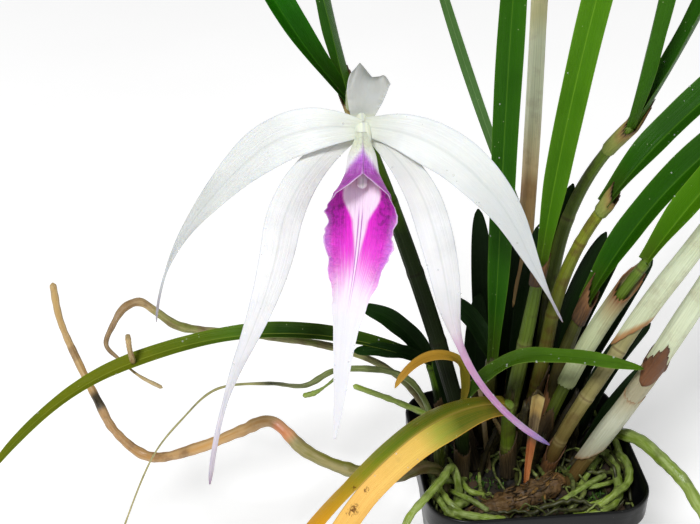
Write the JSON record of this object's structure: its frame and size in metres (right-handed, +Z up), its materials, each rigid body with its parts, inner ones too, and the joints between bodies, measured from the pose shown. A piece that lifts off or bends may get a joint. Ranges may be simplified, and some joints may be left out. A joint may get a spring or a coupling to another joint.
{
  "type": "potted orchid",
  "caption": "Orchid with a white long-petalled flower and magenta lip, upright strap leaves, thin sheathed stems and aerial roots, growing in a square plastic pot.",
  "frame": {"origin": "middle of the pot's flat underside", "axes": "+Z up, from the pot's underside to its rim; the pot's flat front faces -Y and the flower looks towards -Y, over the pot's left front corner at -X"},
  "size_m": [0.3719, 0.1607, 0.4202],
  "materials": {
    "pot_plastic": "satin",
    "bark": "rough",
    "rhizome": "scaly",
    "stem": "satin",
    "green_leaf": "waxy",
    "yellow_leaf": "waxy",
    "papery_sheath": "papery",
    "white_petal": "soft",
    "magenta_lip": "soft",
    "flower_stalk": "soft",
    "dry_root": "fibrous",
    "green_root": "velvety",
    "dry_tissue": "papery"
  },
  "bodies": {
    "root": {"column_and_ovary": "flower_stalk", "dry_bract": "dry_tissue", "dry_stalk": "dry_tissue", "leaf_01_left": "green_leaf", "leaf_01_right": "green_leaf", "leaf_02": "green_leaf", "leaf_03_left": "green_leaf", "leaf_03_right": "green_leaf", "leaf_04": "green_leaf", "leaf_04_narrow": "green_leaf", "leaf_05_left": "green_leaf", "leaf_05_right": "green_leaf", "leaf_06": "green_leaf", "leaf_07": "green_leaf", "leaf_08": "green_leaf", "leaf_09": "green_leaf", "leaf_10": "green_leaf", "leaf_long_arching": "green_leaf", "leaf_shaded_1": "green_leaf", "leaf_shaded_2": "green_leaf", "leaf_shaded_3": "green_leaf", "leaf_small_green": "green_leaf", "leaf_small_yellow": "yellow_leaf", "leaf_yellow": "yellow_leaf", "lip": "magenta_lip", "petal_left": "white_petal", "petal_right": "white_petal", "pot": "pot_plastic", "potting_medium": "bark", "pseudobulb_02": "stem", "pseudobulb_03": "stem", "pseudobulb_04": "stem", "pseudobulb_05": "stem", "pseudobulb_06": "stem", "pseudobulb_07": "stem", "pseudobulb_08": "stem", "pseudobulb_09": "stem", "pseudobulb_10": "stem", "pseudobulb_11": "stem", "pseudobulb_12": "stem", "pseudobulb_13": "stem", "pseudobulb_flowering": "stem", "rhizome": "rhizome", "root_aerial_right": "green_root", "root_curled": "dry_root", "root_long_dead": "dry_root", "root_olive": "green_root", "root_over_rim": "green_root", "root_thin": "green_root", "roots_inside_left": "green_root", "roots_inside_right": "green_root", "sepal_dorsal": "white_petal", "sepal_left": "white_petal", "sepal_right": "white_petal", "sheath_03": "papery_sheath", "sheath_08": "papery_sheath", "sheath_09": "papery_sheath", "sheath_10_high": "papery_sheath", "sheath_10_low": "papery_sheath"}
  },
  "joints": []
}
